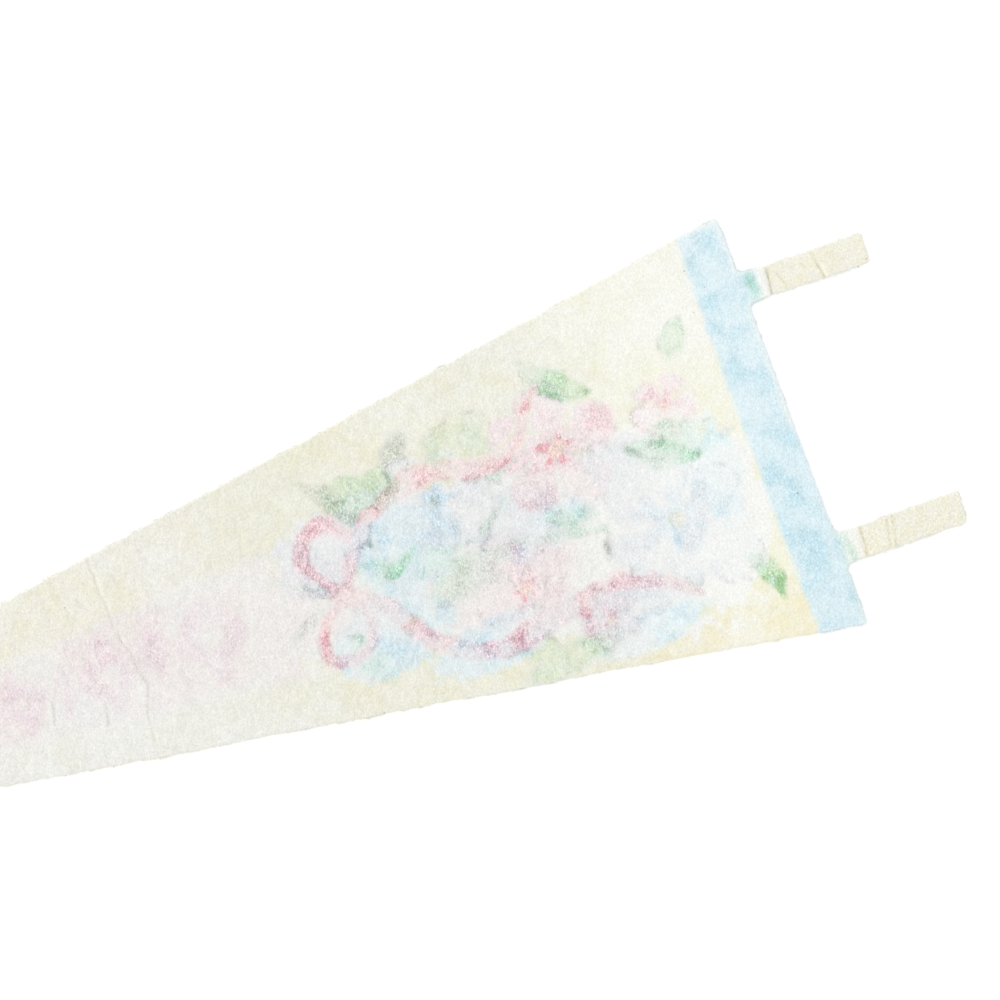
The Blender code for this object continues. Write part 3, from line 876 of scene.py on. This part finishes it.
SPECKS = (  # small dark bits caught in the felt: (u, v), radius, strength
    ((-14.7, 49.7), 0.36, 0.75),
    ((-10.8, 43.6), 0.3, 0.6),
    ((-16.0, 37.9), 0.3, 0.6),
    ((-5.5, -19.4), 0.46, 0.85),
    ((-10.4, -41.8), 0.3, 0.5),
    ((-2.2, -38.6), 0.26, 0.5),
    ((31.6, 34.6), 0.4, 0.7),
    ((34.4, 36.0), 0.42, 0.45),
    ((-209.4, 18.6), 0.36, 0.6),
    ((-135.0, -38.9), 0.4, 0.6),
    ((-205.6, 3.1), 0.22, 0.4),
    ((-189.0, 1.0), 0.22, 0.4),
    ((-70.5, 2.0), 0.22, 0.4),
    ((-152.0, 30.2), 0.22, 0.35),
    ((-248.0, -7.0), 0.3, 0.5),
    ((-301.0, 5.5), 0.3, 0.5),
    ((-342.0, -2.5), 0.25, 0.5),
)


def felt_material():
    made = bpy.data.materials.new("pressed_felt")
    made.use_nodes = True
    tree = made.node_tree
    n = Nodes(tree)
    shader = tree.nodes["Principled BSDF"]
    place = n.put("ShaderNodeTexCoord").outputs["Object"]
    mm = n.put("ShaderNodeVectorMath", operation="SCALE")  # places in millimetres
    n.feed(mm.inputs[0], place)
    mm.inputs["Scale"].default_value = 1000.0
    at = mm.outputs[0]

    def lie_of_fibres(stretch):
        """The felt's fibres lie a little more one way than the other."""
        streak = n.put("ShaderNodeMapping", vector_type="TEXTURE")
        n.feed(streak.inputs["Vector"], at)
        streak.inputs["Rotation"].default_value = (0.0, 0.0, math.radians(-19.45))
        streak.inputs["Scale"].default_value = (1.0, stretch, 1.0)
        return streak.outputs[0]

    short, long = lie_of_fibres(1.6), lie_of_fibres(2.0)
    fine = n.noise(short, 2.2, 2.0, 0.6)  # half-millimetre grain
    tiny = n.noise(at, 5.5, 2.0, 0.65)
    coarse = n.noise(long, 0.62, 3.0, 0.6, 0.4)
    blotch = n.noise(at, 0.21, 3.0, 0.6, 0.3)
    cloud = n.noise(at, 0.045, 3.0, 0.55, 0.5)
    drift = n.noise(at, 0.018, 2.0, 0.5)
    tints = n.noise(short, 1.5, 2.0, 0.6, 0.0, True)
    soak = n.noise(long, 0.33, 4.0, 0.65, 0.6)
    pool = n.noise(at, 0.12, 3.0, 0.5, 0.5)
    drifts = []
    for scale in (0.05, 0.062):  # where each ink came through more, and where less
        parts = n.put("ShaderNodeSeparateColor")
        n.feed(parts.inputs[0], n.noise(at, scale, 1.5, 0.5, 0.6, True))
        drifts += [n.span(parts.outputs[k], 0.36, 0.62, 0.35, 1.0) for k in range(3)]

    # where each ink's edge lies: its depth, pushed about by the grain
    push = n.math("ADD", n.math("MULTIPLY", n.math("SUBTRACT", coarse, 0.5), 2.8), n.math("MULTIPLY", n.math("SUBTRACT", fine, 0.5), 2.0))
    face = n.field("face")
    print_push = n.math("MULTIPLY", push, 0.25)
    pushed = n.put("ShaderNodeMix", data_type="FLOAT")
    for k, item in ((0, face), (2, print_push), (3, push)):
        n.feed(pushed.inputs[k], item)
    push = pushed.outputs[0]

    def cover(depth, spread):
        return n.span(n.math("ADD", depth, push), -spread, spread)

    covers = {}
    for ink in INKS:
        covers[ink["name"]] = cover(n.field(ink["name"]), ink["spread"])
    pale = cover(n.field("pale"), 1.8)
    band_depth = n.field("band")
    band = n.span(n.math("ADD", band_depth, n.math("MULTIPLY", push, 0.6)), -1.1, 1.1)

    place_parts = n.put("ShaderNodeSeparateXYZ")
    n.feed(place_parts.inputs[0], at)
    along = n.math("SUBTRACT", place_parts.outputs[0], HEAD_X)  # u
    across = n.math("SUBTRACT", place_parts.outputs[1], HEAD_Y)  # v

    # the felt itself: cream, greyer towards the narrow part, with cloudy spots
    felt = tuple(c / LIGHT for c in level(*FELT_WHITE))
    under = n.mix(n.span(cloud, 0.3, 0.7), felt, tuple(c / LIGHT for c in level(245, 244, 234)))
    age = n.math("ADD", n.span(along, -25.0, -80.0, 0.0, 0.84), n.span(along, -100.0, -160.0, 0.0, 0.16))
    age = n.math("MAXIMUM", age, n.span(along, 4.0, 8.0, 0.0, 0.45))
    age = n.math("ADD", age, n.math("MULTIPLY", n.math("SUBTRACT", cloud, 0.5), 0.6), clamp=True)
    colour = n.mix(age, felt, tuple(c / LIGHT for c in level(*FELT_AGED)))
    spots = n.span(n.math("ADD", n.math("MULTIPLY", blotch, 0.6), n.math("MULTIPLY", soak, 0.4)), 0.42, 0.66)
    colour = n.mix(n.math("MULTIPLY", spots, n.span(along, -20.0, -60.0, 0.28, 0.38)), colour, tint(243, 243, 238), "MULTIPLY")

    # the yellow ground is printed round the figures and stops short of the band
    held = n.span(n.math("ADD", n.math("MULTIPLY", pool, 0.6), n.math("MULTIPLY", blotch, 0.4)), 0.4, 0.6, n.span(along, -130.0, -160.0, 0.92, 0.6), 0.98)
    figure = n.math("MAXIMUM", n.math("MULTIPLY", pale, held), band)
    for name in ("haze", "aqua", "row", "pink"):
        figure = n.math("MAXIMUM", figure, covers[name])
    figure = n.math("MAXIMUM", figure, n.math("MULTIPLY", covers["rose"], 0.8))
    ground = n.math("MULTIPLY", n.math("SUBTRACT", 1.0, figure), n.span(along, 1.0, -1.0))
    upper_right = n.math("MULTIPLY", n.span(along, -64.0, -24.0), n.span(across, 22.0, 44.0))
    strength = n.span(n.math("ADD", n.math("MULTIPLY", soak, 0.25), n.math("MULTIPLY", blotch, 0.75)), 0.36, 0.64, 0.6, 1.0)
    strength = n.math("MULTIPLY", strength, n.span(n.math("ADD", cloud, n.math("MULTIPLY", drift, 0.6)), 0.66, 0.94, 0.55, 1.12))
    strength = n.math("MULTIPLY", strength, n.math("MULTIPLY_ADD", upper_right, -0.6, 1.0))
    lower_left = n.math("MULTIPLY", n.span(along, -130.0, -170.0), n.span(across, 8.0, -14.0))
    strength = n.math("MULTIPLY", strength, n.math("MULTIPLY_ADD", lower_left, -0.45, 1.0))
    strength = n.math("MULTIPLY", strength, n.span(along, -148.0, -172.0, 1.0, 0.82))
    colour = n.mix(n.math("MULTIPLY", ground, strength), colour, tint(245, 244, 222), "MULTIPLY")
    lower_right = n.math("MULTIPLY", n.span(along, -80.0, -50.0), n.span(across, -36.0, -46.0))
    colour = n.mix(n.math("MULTIPLY", n.math("MULTIPLY", ground, lower_right), strength), colour, tint(246, 243, 231), "MULTIPLY")
    upper_left = n.math("MULTIPLY", n.span(along, -110.0, -160.0), n.span(across, 4.0, 14.0))
    colour = n.mix(n.math("MULTIPLY", ground, upper_left), colour, tint(248, 248, 246), "MULTIPLY")
    dull = n.math("MULTIPLY", n.span(along, -172.0, -155.0), n.span(along, -122.0, -136.0))
    dull = n.math("MULTIPLY", n.math("MULTIPLY", ground, dull), n.span(across, 6.0, 16.0, 0.0, 0.75))
    colour = n.mix(dull, colour, tint(243, 245, 235), "MULTIPLY")
    under = n.mix(n.math("MULTIPLY", ground, 0.9), under, tint(246, 238, 170), "MULTIPLY")

    caught = n.math("MULTIPLY_ADD", n.math("SUBTRACT", fine, 0.5), 0.25, 0.9)  # some fibres took more ink
    caught = n.math("ADD", caught, n.math("MULTIPLY", n.math("SUBTRACT", soak, 0.5), 0.7))
    deep = n.math("ADD", n.math("MULTIPLY", soak, 0.3), n.math("MULTIPLY", pool, 0.7))
    bare = n.put("ShaderNodeRGBToBW")  # how light the felt is before the inks
    n.feed(bare.inputs[0], colour)
    for ink in INKS:
        c = covers[ink["name"]]
        come = drifts[ink["drift"]]
        if ink["name"] == "row":
            come = n.math("MULTIPLY_ADD", come, 0.4, 0.5)
        shade = n.mix(n.math("MULTIPLY", n.span(deep, 0.43, 0.6), come), tint(*ink["colour"], over=PRINTED), tint(*ink["deep"], over=PRINTED))
        amount = n.math("MULTIPLY", n.math("MULTIPLY", c, n.math("MULTIPLY", come, ink["shows"])), caught, clamp=True)
        colour = n.mix(amount, colour, shade, "MULTIPLY")
        under = n.mix(n.math("MULTIPLY", c, 0.95), under, tint(*PRINT_SIDE[ink["name"]]), "MULTIPLY")

    # outlines and veins, which came through only here and there
    lines = n.span(n.math("ADD", n.field("line"), n.math("MULTIPLY", push, 0.3)), -0.7, 0.6)
    rim = None
    for name in ("rose", "pink", "leaf", "green", "haze"):
        off = n.math("ABSOLUTE", n.math("ADD", n.field(name), n.math("MULTIPLY", push, 0.35)))
        one = n.span(off, 0.15, 1.1, 1.0, 0.0)
        rim = one if rim is None else n.math("MAXIMUM", rim, one)
    here = n.span(n.math("ADD", n.math("MULTIPLY", soak, 0.5), n.math("MULTIPLY", n.noise(at, 0.11, 2.0, 0.5), 0.5)), 0.48, 0.62)
    faint = n.math("MULTIPLY", n.math("MAXIMUM", rim, n.math("MULTIPLY", lines, 0.8)), n.math("MULTIPLY", here, caught))
    colour = n.mix(n.math("MULTIPLY", faint, 0.4, clamp=True), colour, tint(208, 204, 204), "MULTIPLY")
    under = n.mix(n.math("MULTIPLY", n.math("MAXIMUM", rim, lines), 0.75), under, tint(96, 84, 80), "MULTIPLY")
    heart = cover(n.field("heart"), 0.9)
    colour = n.mix(n.math("MULTIPLY", heart, 0.6), colour, tint(246, 238, 216), "MULTIPLY")
    under = n.mix(heart, under, tint(250, 214, 92), "MULTIPLY")

    # the blue band along the head, which runs on into the tabs' roots and turns green there
    margin = n.math("ADD", n.field("margin"), n.math("MULTIPLY", n.math("SUBTRACT", coarse, 0.5), 1.2))
    thin = n.span(across, 4.0, -10.0, 0.45, 0.85)  # the ink is thinner along the head's upper half
    band_deep = n.span(n.math("ADD", n.math("MULTIPLY", soak, 0.06), n.math("MULTIPLY", pool, 0.94)), 0.4, 0.68)
    band_deep = n.math("ADD", band_deep, n.span(across, 12.0, -20.0, 0.0, 0.15), clamp=True)
    blue = n.mix(band_deep, tint(224, 241, 246), tint(201, 230, 240))
    upper_side = n.span(across, -5.0, 5.0)
    ends = n.math("MULTIPLY_ADD", upper_side, 2.2, n.math("MULTIPLY", push, -0.5))  # the blue runs further up the upper tab
    reach = n.span(n.math("SUBTRACT", along, ends), 2.5, 0.0)
    band = n.math("MULTIPLY", band, reach)
    band = n.math("MULTIPLY", band, n.span(n.math("MULTIPLY_ADD", push, 0.4, across), 58.9, 60.6, 1.0, 0.45))
    inked = n.math("MULTIPLY", n.math("MULTIPLY_ADD", n.math("SUBTRACT", caught, 0.88), 0.08, 0.95), n.span(margin, 0.1, 2.1, thin, 1.0))
    colour = n.mix(n.math("MULTIPLY", band, inked, clamp=True), colour, blue, "MULTIPLY")
    under = n.mix(band, under, tint(112, 184, 226), "MULTIPLY")
    rooted = n.math("ADD", along, n.math("MULTIPLY", push, 0.4))
    root = n.math("MULTIPLY", n.span(rooted, -0.4, 1.6), n.span(rooted, 5.2, 2.4))
    colour = n.mix(n.math("MULTIPLY", root, n.math("MULTIPLY_ADD", upper_side, 0.05, 0.4)), colour, tint(208, 234, 220), "MULTIPLY")
    under = n.mix(n.math("MULTIPLY", root, 0.8), under, tint(96, 186, 158), "MULTIPLY")

    def near(u0, v0, radius, stretch=1.0):
        """1 at a place, falling to 0 at the radius from it, with a ragged edge."""
        far = n.put("ShaderNodeVectorMath", operation="DISTANCE")
        flat = n.put("ShaderNodeVectorMath", operation="MULTIPLY")
        n.feed(flat.inputs[0], at)
        flat.inputs[1].default_value = (1.0, stretch, 0.0)
        n.feed(far.inputs[0], flat.outputs[0])
        far.inputs[1].default_value = (u0 + HEAD_X, (v0 + HEAD_Y) * stretch, 0.0)
        return n.span(n.math("ADD", far.outputs["Value"], n.math("MULTIPLY", n.math("SUBTRACT", tiny, 0.5), radius * 0.9)), radius, radius * 0.2)

    spot_green = tuple(c / LIGHT for c in level(172, 216, 196))
    speckled = n.span(n.math("ADD", n.math("MULTIPLY", fine, 0.5), n.math("MULTIPLY", tiny, 0.5)), 0.36, 0.6, 0.55, 1.0)
    for u0, v0, radius, stretch, amount in ((1.8, 40.3, 2.3, 0.62, 0.6), (1.3, 41.2, 1.2, 0.7, 0.4), (3.0, 37.6, 1.7, 0.7, 0.3), (3.8, -40.6, 1.5, 0.32, 0.42), (3.1, -37.0, 1.3, 0.4, 0.25)):
        colour = n.mix(n.math("MULTIPLY", near(u0, v0, radius, stretch), n.math("MULTIPLY", speckled, amount), clamp=True), colour, spot_green)

    # the tabs' outer stretch has yellowed more than their roots
    outer = n.span(n.math("ADD", along, n.math("MULTIPLY", across, -0.05)), 5.0, 5.6)
    outer = n.math("MULTIPLY", outer, n.span(along, 6.2, 6.9, 0.25, 1.0))
    colour = n.mix(n.math("MULTIPLY", outer, n.span(n.math("ADD", n.math("MULTIPLY", soak, 0.4), n.math("MULTIPLY", blotch, 0.6)), 0.36, 0.64, 0.55, 1.0)), colour, tint(246, 243, 222), "MULTIPLY")

    # dirt and painted shade in the folds, darker along each crease line, and a painted highlight on the felt beside
    # them
    painted_highlight_felt = tuple(c / LIGHT for c in level(250, 249, 236))
    colour = n.mix(n.math("MULTIPLY", n.field("painted_highlight"), n.math("MULTIPLY", caught, 0.75), clamp=True), colour, painted_highlight_felt)
    dirt_and_shade = n.math("MULTIPLY", n.field("dirt_and_shade"), n.span(n.math("ADD", n.math("MULTIPLY", fine, 0.6), n.math("MULTIPLY", coarse, 0.4)), 0.3, 0.6, 0.45, 1.0))
    dirt_and_shade_tint = n.mix(n.span(along, -5.0, 5.0), tint(208, 207, 197), tint(208, 203, 168))
    colour = n.mix(dirt_and_shade, colour, dirt_and_shade_tint, "MULTIPLY")

    # the cut edge is a little grey and worn in places
    worn = n.math("MULTIPLY", n.span(margin, 0.9, 0.0), n.span(coarse, 0.42, 0.68))
    colour = n.mix(n.math("MULTIPLY", worn, 0.35), colour, tint(232, 232, 227), "MULTIPLY")

    # painted highlight: the rim and its loose fibres are painted lighter, as if they caught more light
    loose = n.math("MAXIMUM", n.math("MULTIPLY", n.field("loose"), 0.5), n.span(n.field("margin"), 0.6, 0.0, 0.0, 0.45))
    colour = n.mix(loose, colour, tuple(c / LIGHT for c in level(250, 251, 249)))

    # bits of dust and dark fibre
    bits = None
    for (u0, v0), radius, amount in SPECKS:
        one = n.math("MULTIPLY", near(u0, v0, radius), amount)
        bits = one if bits is None else n.math("MAXIMUM", bits, one)
    dust = n.put("ShaderNodeTexVoronoi", feature="F1", distance="EUCLIDEAN")
    n.feed(dust.inputs["Vector"], at)
    dust.inputs["Scale"].default_value = 0.13
    dust.inputs["Randomness"].default_value = 1.0
    small = n.span(n.math("ADD", dust.outputs["Distance"], n.math("MULTIPLY", n.math("SUBTRACT", tiny, 0.5), 0.05)), 0.045, 0.02)
    bits = n.math("MAXIMUM", bits, n.math("MULTIPLY", small, 0.2))

    # grain: light and dark fibres, some light ones painted as glints, stronger where ink darkens the felt and where the
    # felt has been handled
    print_bw = n.put("ShaderNodeRGBToBW")
    n.feed(print_bw.inputs[0], colour)
    inkiness = n.math("SUBTRACT", 1.0, n.math("DIVIDE", print_bw.outputs[0], bare.outputs[0]), clamp=True)
    inkiness = n.math("MINIMUM", inkiness, 0.26)
    inkiness = n.math("MULTIPLY_ADD", n.math("MULTIPLY", inkiness, inkiness), 48.0, n.math("MULTIPLY", inkiness, 2.5))
    inkiness = n.math("MULTIPLY", inkiness, n.math("MULTIPLY_ADD", band, -0.5, 1.0))
    rough_felt = n.math("ADD", n.math("ADD", inkiness, 1.0), n.span(along, -35.0, -75.0, 0.0, 0.18))
    rough_felt = n.math("ADD", rough_felt, n.math("MULTIPLY", n.span(along, 5.0, 8.0), n.span(across, -10.0, 10.0, 0.4, 0.05)))
    grain = n.math("MULTIPLY", n.math("SUBTRACT", fine, 0.5), 0.36)
    grain = n.math("ADD", grain, n.math("MULTIPLY", n.math("SUBTRACT", tiny, 0.5), 0.32))
    lumps = n.math("ADD", n.span(along, -25.0, -62.0, 0.07, 0.18), n.math("MULTIPLY", band, n.span(across, 5.0, -10.0, 0.0, 0.07)))
    grain = n.math("ADD", grain, n.math("MULTIPLY", n.math("SUBTRACT", coarse, 0.5), lumps))
    lint = n.noise(short, 2.6, 1.0, 0.5)
    # bright fibres: lighter fibres, with painted glints of fibre highlights
    grain = n.math("ADD", grain, n.span(lint, 0.62, 0.76, 0.0, 0.07))  # bright fibres
    grain = n.math("ADD", grain, n.span(lint, 0.37, 0.24, 0.0, -0.07))  # dark ones
    grain = n.math("ADD", n.math("MULTIPLY", grain, rough_felt), 1.0)
    both = n.put("ShaderNodeMix", data_type="RGBA")
    n.feed(both.inputs[0], face)
    n.feed(both.inputs[6], under)
    n.feed(both.inputs[7], colour)
    shown = both.outputs[2]
    scaled = n.put("ShaderNodeVectorMath", operation="SCALE")
    n.feed(scaled.inputs[0], shown)
    n.feed(scaled.inputs["Scale"], grain)
    hue = n.put("ShaderNodeVectorMath", operation="MULTIPLY_ADD")
    n.feed(hue.inputs[0], tints)
    hue.inputs[1].default_value = (0.024, 0.018, 0.026)
    hue.inputs[2].default_value = (1 - 0.012, 1 - 0.009, 1 - 0.013)
    toned = n.put("ShaderNodeVectorMath", operation="MULTIPLY")
    n.feed(toned.inputs[0], scaled.outputs[0])
    n.feed(toned.inputs[1], hue.outputs[0])
    final = n.mix(bits, toned.outputs[0], tuple(c / LIGHT for c in level(150, 148, 146)))
    n.feed(shader.inputs["Base Color"], final)

    # relief too fine for the mesh: matted fibres
    fibres = n.put("ShaderNodeTexVoronoi", feature="DISTANCE_TO_EDGE")
    n.feed(fibres.inputs["Vector"], short)
    fibres.inputs["Scale"].default_value = 1.6
    fibres.inputs["Randomness"].default_value = 1.0
    height = n.math("ADD", n.math("MULTIPLY", fine, 0.5), n.math("MULTIPLY", tiny, 0.35))
    height = n.math("ADD", height, n.math("MULTIPLY", n.span(fibres.outputs["Distance"], 0.0, 0.12), 0.12))
    bump = n.put("ShaderNodeBump")
    bump.inputs["Strength"].default_value = 0.55
    bump.inputs["Distance"].default_value = 0.00022
    n.feed(bump.inputs["Height"], height)
    n.feed(shader.inputs["Normal"], bump.outputs["Normal"])
    n.feed(shader.inputs["Roughness"], n.span(coarse, 0.3, 0.7, 0.88, 1.0))
    shader.inputs["Specular IOR Level"].default_value = 0.12
    shader.inputs["Sheen Weight"].default_value = 0.12
    shader.inputs["Sheen Roughness"].default_value = 0.6
    shader.inputs["Sheen Tint"].default_value = (1.0, 1.0, 0.98, 1.0)
    return made


def floor_material():
    made = bpy.data.materials.new("studio_floor")
    made.use_nodes = True
    n = Nodes(made.node_tree)
    shader = made.node_tree.nodes["Principled BSDF"]
    place = n.put("ShaderNodeTexCoord").outputs["Object"]
    soft = n.noise(place, 3.0, 2.0, 0.5)
    n.feed(shader.inputs["Base Color"], n.mix(soft, (0.84, 0.84, 0.84), (0.86, 0.86, 0.86)))
    shader.inputs["Roughness"].default_value = 0.9
    shader.inputs["Specular IOR Level"].default_value = 0.1
    shader.inputs["Emission Color"].default_value = (1.0, 1.0, 1.0, 1.0)
    shader.inputs["Emission Strength"].default_value = 0.22
    return made


# ---------------------------------------------------------------------------------------------------------------
# the scene
# ---------------------------------------------------------------------------------------------------------------
def link(name, mesh):
    made = bpy.data.objects.new(name, mesh)
    bpy.context.scene.collection.objects.link(made)
    return made


mesh, cut, cut_normal, edge = sheet_mesh()
felt = felt_material()
pennant = link("pennant_felt", mesh)
mesh.materials.append(felt)
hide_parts("pennant")
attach(pennant, "root")
fibres = link("felt_fibres", fibre_mesh(cut, cut_normal, edge))
fibres.data.materials.append(felt)
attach(fibres, "root")

floor_mesh = bpy.data.meshes.new("floor")
floor_mesh.from_pydata([(-3, -3, 0), (3, -3, 0), (3, 3, 0), (-3, 3, 0)], [], [(0, 1, 2, 3)])
floor = link("floor", floor_mesh)
floor.location.z = -0.00002
floor_mesh.materials.append(floor_material())

# ---- camera: straight down on the flat pennant, turned so that it rises to the right ----
TURN = math.radians(19.45)
VIEW_ACROSS = 0.2797  # metres of the surface across the picture
LENS, SENSOR = 135.0, 36.0
camera = bpy.data.objects.new("camera", bpy.data.cameras.new("camera"))
bpy.context.scene.collection.objects.link(camera)
camera.data.lens = LENS
camera.data.sensor_width = SENSOR
camera.location = ((HEAD_X - 84.6) / 1000, (HEAD_Y + 6.5) / 1000, VIEW_ACROSS * LENS / SENSOR + THICKNESS / 1000)
camera.rotation_euler = (0.0, 0.0, -TURN)
camera.data.clip_start, camera.data.clip_end = 0.05, 20.0
bpy.context.scene.camera = camera

# ---- light: an even white room and one large soft lamp from the picture's upper left ----
world = bpy.data.worlds.new("studio")
world.use_nodes = True
world.node_tree.nodes["Background"].inputs["Color"].default_value = (1.0, 1.0, 1.0, 1.0)
world.node_tree.nodes["Background"].inputs["Strength"].default_value = 1.06
bpy.context.scene.world = world

lamp = bpy.data.lights.new("key", "AREA")
lamp.shape = "SQUARE"
lamp.size = 0.9
lamp.energy = 5.0
key = bpy.data.objects.new("key", lamp)
bpy.context.scene.collection.objects.link(key)
aim = Vector(((HEAD_X - 84.6) / 1000, (HEAD_Y + 6.5) / 1000, 0.0))
left, up = Vector((-math.cos(TURN), math.sin(TURN), 0.0)), Vector((math.sin(TURN), math.cos(TURN), 0.0))
key.location = aim + left * 0.85 + up * 0.7 + Vector((0.0, 0.0, 1.15))
key.rotation_mode = "QUATERNION"
key.rotation_quaternion = (aim - key.location).to_track_quat("-Z", "Y")

settings = bpy.context.scene.view_settings
settings.view_transform = "Standard"
settings.look = "None"
settings.exposure = 0.0
settings.gamma = 1.0
